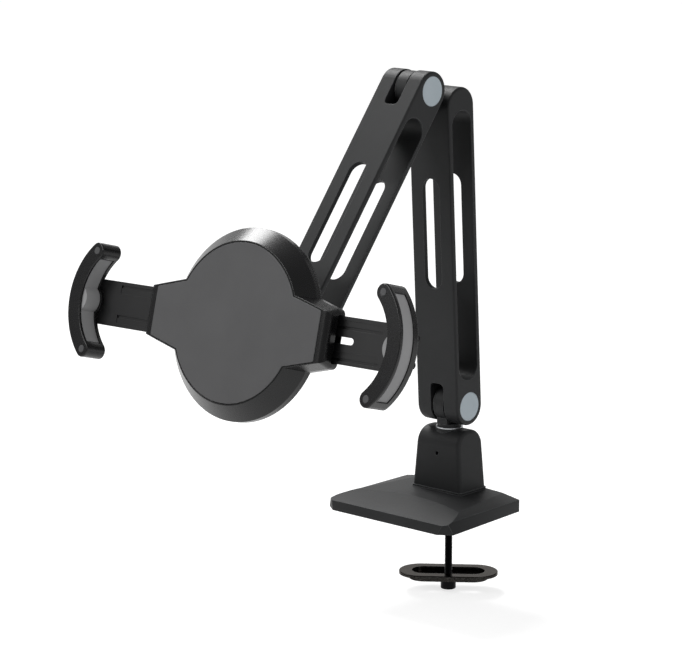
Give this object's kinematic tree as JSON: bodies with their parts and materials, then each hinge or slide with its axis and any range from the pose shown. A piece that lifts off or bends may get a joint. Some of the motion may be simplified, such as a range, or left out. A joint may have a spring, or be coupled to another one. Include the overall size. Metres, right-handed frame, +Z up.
{
  "type": "tablet arm clamp mount",
  "caption": "Desk clamp mount with a swivel post, folding arms and a tilting holder whose geared grips close on a tablet.",
  "frame": {"origin": "on the clamp bolt's axis, in the plane of the foot pad's underside, which lies on the desk", "axes": "+Z up; -Y to the front, the side the tablet faces at rest; +X along the arms' hinge axes"},
  "size_m": [0.3168, 0.284, 0.404],
  "materials": {
    "painted_alloy": "satin",
    "zinc_steel": "satin",
    "black_steel": "satin",
    "nickel_plate": "polished",
    "bronze_bush": "satin",
    "washer_plastic": "matte",
    "cap_plastic": "satin",
    "tip_plastic": "satin",
    "black_plastic": "gloss",
    "bar_plastic": "satin",
    "gear_plastic": "satin",
    "foot_rubber": "matte",
    "pad_rubber": "satin",
    "lining_rubber": "matte"
  },
  "bodies": {
    "base": {"base_cover": "painted_alloy", "base_plate": "zinc_steel", "base_foot_pad": "foot_rubber", "base_screws": "zinc_steel", "swivel_bush": "bronze_bush", "swivel_set_screw": "black_steel"},
    "swivel": {"swivel_knuckle": "painted_alloy", "swivel_washer": "zinc_steel", "swivel_retaining_clip": "black_steel"},
    "lower_arm": {"lower_arm": "painted_alloy", "lower_pivot_bolt": "zinc_steel", "lower_pivot_nut": "zinc_steel", "lower_pivot_caps": "cap_plastic", "lower_friction_washers": "washer_plastic"},
    "upper_arm": {"upper_arm": "painted_alloy", "elbow_pivot_bolt": "zinc_steel", "elbow_pivot_nut": "zinc_steel", "elbow_pivot_caps": "cap_plastic", "elbow_friction_washers": "washer_plastic"},
    "head": {"head_bracket": "painted_alloy", "head_pivot_bolt": "zinc_steel", "head_pivot_nut": "zinc_steel", "head_friction_washers": "washer_plastic", "head_stud_clip": "black_steel", "head_hub_washer": "washer_plastic"},
    "holder": {"holder_front_housing": "black_plastic", "holder_back_cover": "black_plastic", "holder_face_pad": "pad_rubber", "holder_screws": "black_steel", "holder_pinion_axle": "zinc_steel"},
    "pinion": {"holder_pinion": "gear_plastic"},
    "left_slider": {"left_bar": "bar_plastic", "left_grip": "black_plastic", "left_inner_lining": "lining_rubber", "left_outer_lining": "lining_rubber", "left_tip_caps": "tip_plastic", "left_grip_screws": "black_steel"},
    "right_slider": {"right_bar": "bar_plastic", "right_grip": "black_plastic", "right_inner_lining": "lining_rubber", "right_outer_lining": "lining_rubber", "right_tip_caps": "tip_plastic", "right_grip_screws": "black_steel"},
    "clamp_screw": {"clamp_bolt": "black_steel"},
    "clamp_jaw": {"clamp_plate": "nickel_plate"}
  },
  "joints": [
    {"name": "base_swivel", "type": "hinge", "parent": "base", "child": "swivel", "pos_m": [0, 0, 0.05], "axis": [0, 0, 1], "continuous": true},
    {"name": "lower_arm_tilt", "type": "hinge", "parent": "swivel", "child": "lower_arm", "pos_m": [0, 0, 0.079], "axis": [1, 0, 0], "range_deg": [-85, 80]},
    {"name": "elbow_fold", "type": "hinge", "parent": "lower_arm", "child": "upper_arm", "pos_m": [0, -0.04555, 0.32224], "axis": [-1, 0, 0], "range_deg": [-30, 128]},
    {"name": "head_tilt", "type": "hinge", "parent": "upper_arm", "child": "head", "pos_m": [0, -0.19754, 0.1668], "axis": [-1, 0, 0], "range_deg": [-60, 25]},
    {"name": "holder_turn", "type": "hinge", "parent": "head", "child": "holder", "pos_m": [0, -0.21684, 0.17205], "axis": [0, -0.965, 0.2622], "continuous": true},
    {"name": "left_grip_slide", "type": "slide", "parent": "holder", "child": "left_slider", "axis": [0.9998, 0.005, 0.0185], "range_m": [-0.006, 0.052]},
    {"name": "right_grip_slide", "type": "slide", "parent": "holder", "child": "right_slider", "axis": [-0.9998, -0.005, -0.0185], "range_m": [-0.0065, 0.0525]},
    {"name": "pinion_spin", "type": "hinge", "parent": "holder", "child": "pinion", "pos_m": [0, -0.23421, 0.17677], "axis": [0, 0.965, -0.2622], "range_deg": [-120, 930]},
    {"name": "clamp_travel", "type": "slide", "parent": "base", "child": "clamp_screw", "axis": [0, 0, 1], "range_m": [-0.002, 0.042]},
    {"name": "clamp_plate_swivel", "type": "hinge", "parent": "clamp_screw", "child": "clamp_jaw", "pos_m": [0, 0, -0.0575], "axis": [0, 0, 1], "continuous": true}
  ],
  "couplings": [
    {"joint": "right_grip_slide", "follows": "left_grip_slide", "ratio": 1},
    {"joint": "pinion_spin", "follows": "left_grip_slide", "rad_per_m": 303.03}
  ]
}
